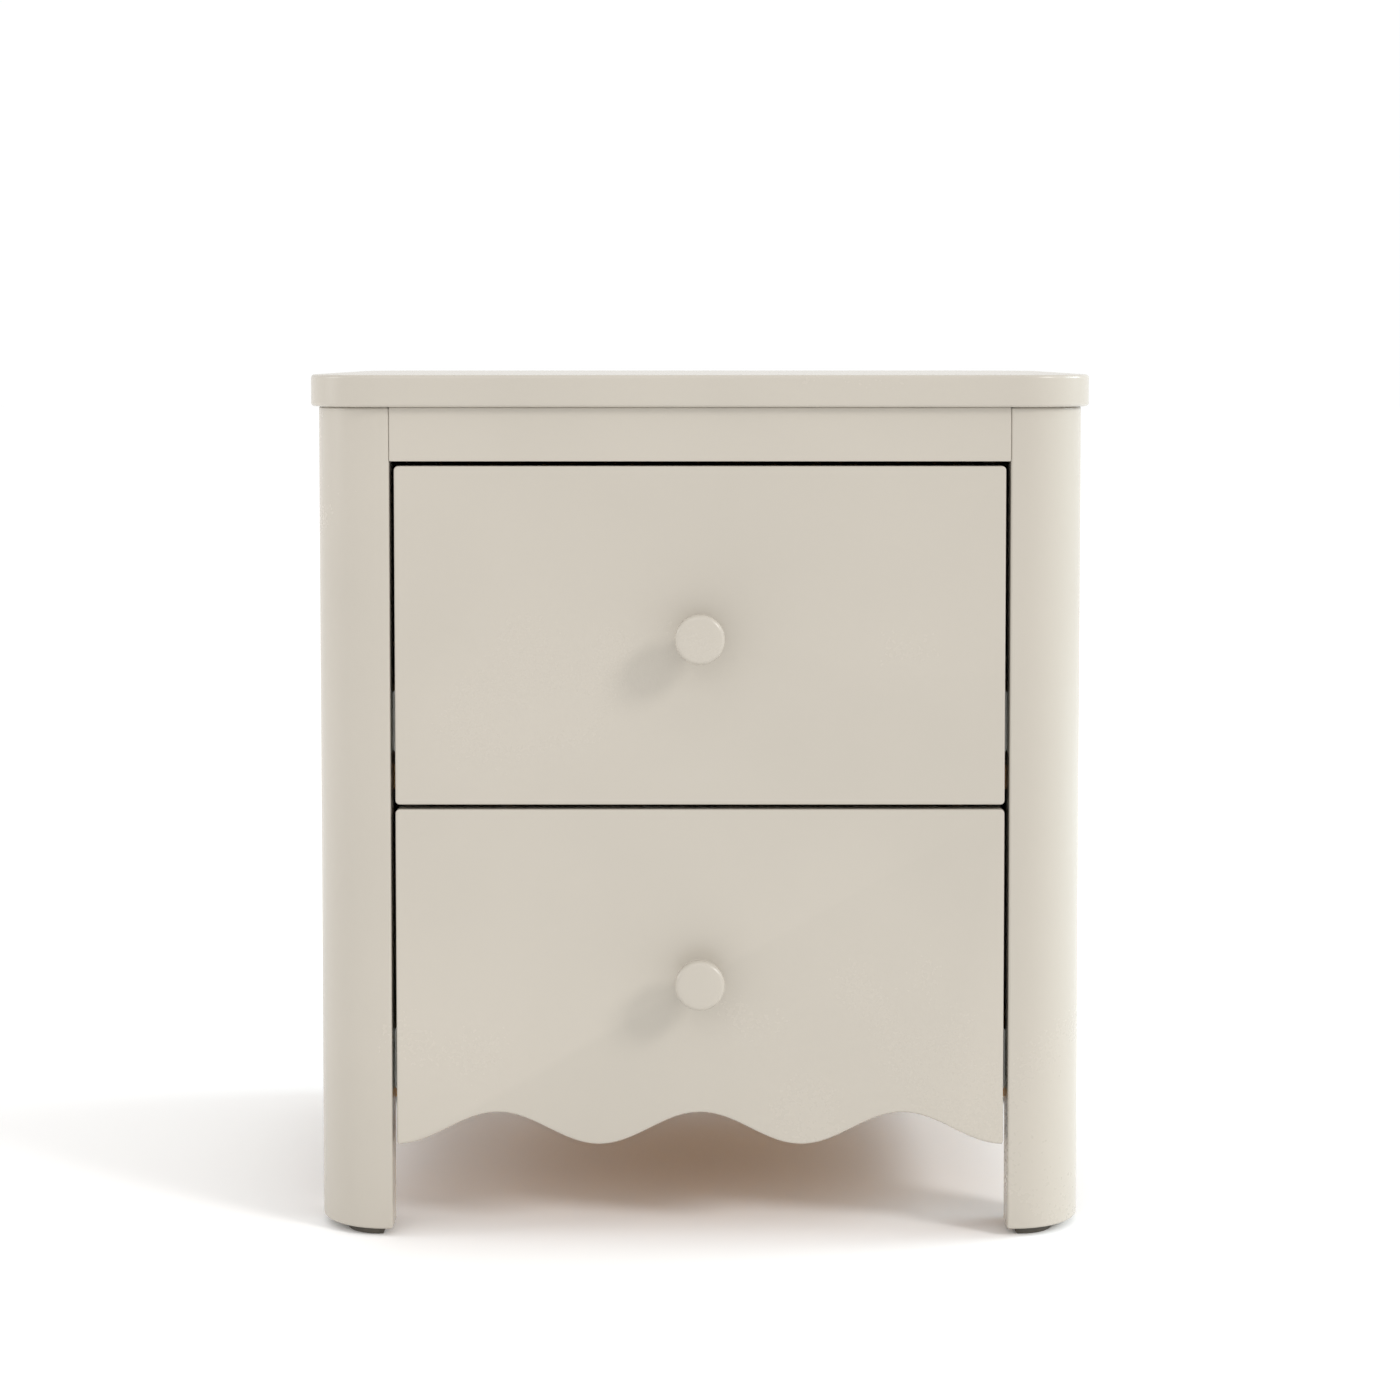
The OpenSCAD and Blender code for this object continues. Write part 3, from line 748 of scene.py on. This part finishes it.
def screws(node, body, height):
    """Screws in place of a CAD node's: tapered shanks, and heads so high that look to the rear."""
    axis = Vector((0, 1, 0))
    bm = bmesh.new()
    for low, high in solids(node):
        radius = (high.x - low.x) / 2
        seat = Vector(((low.x + high.x) / 2, high.y - height, (low.z + high.z) / 2))
        screw_head(bm, seat, axis, radius, height)
        length = seat.y - low.y
        profile = [(radius * 0.5, 0.0), (radius * 0.5, -length * 0.85), (0.0, -length)]
        lathe(bm, profile, seat, axis, 16)
    make_piece(node + "_driven", bm, SCREW_STEEL, body, "screw_steel", node)


screws("back_screws", "carcass", height=1.8 * MM)
for level in LEVELS:
    screws(f"{level}_front_screws", f"{level}_drawer", height=2.4 * MM)
    screws(f"{level}_knob_screw", f"{level}_drawer", height=2.5 * MM)
for node in ("carcass_screws", "top_screws", "slide_screws", "upper_runner_screws", "lower_runner_screws"):
    keep_node(node, SCREW_STEEL)
keep_node("dowels", CARCASS_WOOD["x"])


# ---------------------------------------------------------------- studio

def studio_floor():
    """A plain white floor."""
    material, tree, shader = new_material("studio_floor")
    tone = noise(tree, object_coords(tree), scale=3.0)
    base = ramp(tree, tone, [(0.2, (0.905, 0.900, 0.895)), (0.8, (0.925, 0.920, 0.915))])
    tree.links.new(base, shader.inputs["Base Color"])
    shader.inputs["Roughness"].default_value = 0.9
    shader.inputs["Specular IOR Level"].default_value = 0.1
    bm = bmesh.new()
    bmesh.ops.create_grid(bm, x_segments=1, y_segments=1, size=30.0)
    mesh = bpy.data.meshes.new("floor")
    bm.to_mesh(mesh)
    bm.free()
    mesh.materials.append(material)
    floor = bpy.data.objects.new("floor", mesh)
    bpy.context.scene.collection.objects.link(floor)


LIGHT_DISTANCE = 3.5  # metres
WHITE = (1.0, 1.0, 1.0)
WARM_WHITE = (1.0, 0.985, 0.97)
COOL_WHITE = (0.78, 0.93, 1.0)


def aim(name, data, azimuth, elevation):
    """Adds a light that looks at the middle of the object from a direction; azimuth 0 is the front."""
    a, e = math.radians(azimuth), math.radians(elevation)
    towards = Vector((math.sin(a) * math.cos(e), -math.cos(a) * math.cos(e), math.sin(e)))
    light = bpy.data.objects.new(name, data)
    light.location = (cad_low + cad_high) / 2 + towards * LIGHT_DISTANCE
    light.rotation_mode = "QUATERNION"
    light.rotation_quaternion = towards.to_track_quat("Z", "Y")
    bpy.context.scene.collection.objects.link(light)


def sun_light(name, azimuth, elevation, spread, strength, colour):
    """A distant light, so many degrees across."""
    data = bpy.data.lights.new(name, "SUN")
    data.angle = math.radians(spread)
    data.energy = strength
    data.color = colour
    aim(name, data, azimuth, elevation)


def area_light(name, azimuth, elevation, size, power, colour=WHITE):
    """A round soft light, so many metres across."""
    data = bpy.data.lights.new(name, "AREA")
    data.shape = "DISK"
    data.size = size
    data.energy = power
    data.color = colour
    aim(name, data, azimuth, elevation)


def studio_lights():
    """An even white room, a soft key from the front right, and three fills."""
    world = bpy.data.worlds.new("studio")
    world.use_nodes = True
    background = world.node_tree.nodes["Background"]
    background.inputs["Color"].default_value = (*WHITE, 1)
    background.inputs["Strength"].default_value = 1.01
    bpy.context.scene.world = world
    sun_light("key", azimuth=55, elevation=31, spread=14, strength=1.2, colour=WARM_WHITE)
    area_light("front_fill", azimuth=-15, elevation=30, size=2.0, power=8)
    area_light("left_fill", azimuth=-85, elevation=18, size=1.5, power=23)
    area_light("right_fill", azimuth=100, elevation=22, size=1.5, power=54, colour=COOL_WHITE)


CAMERA_DISTANCE = 2.1045  # metres in front of the top's front edge
CAMERA_HEIGHT = 0.6334  # metres above the floor
CAMERA_TILT = math.radians(2.956)
CAMERA_SHIFT = -0.14
LENS = 76.98
SENSOR_WIDTH = 36


def camera():
    """Slightly above the top, square to the front, tipped down and shifted a little, as a product shot is."""
    data = bpy.data.cameras.new("camera")
    data.lens = LENS
    data.sensor_width = SENSOR_WIDTH
    data.shift_y = CAMERA_SHIFT
    top_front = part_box("top_panel")[0].y
    view = bpy.data.objects.new("camera", data)
    view.location = (0, top_front - CAMERA_DISTANCE, CAMERA_HEIGHT)
    view.rotation_euler = (math.pi / 2 - CAMERA_TILT, 0, 0)
    bpy.context.scene.collection.objects.link(view)
    bpy.context.scene.camera = view


studio_floor()
studio_lights()
camera()
bpy.context.scene.view_settings.view_transform = "Standard"
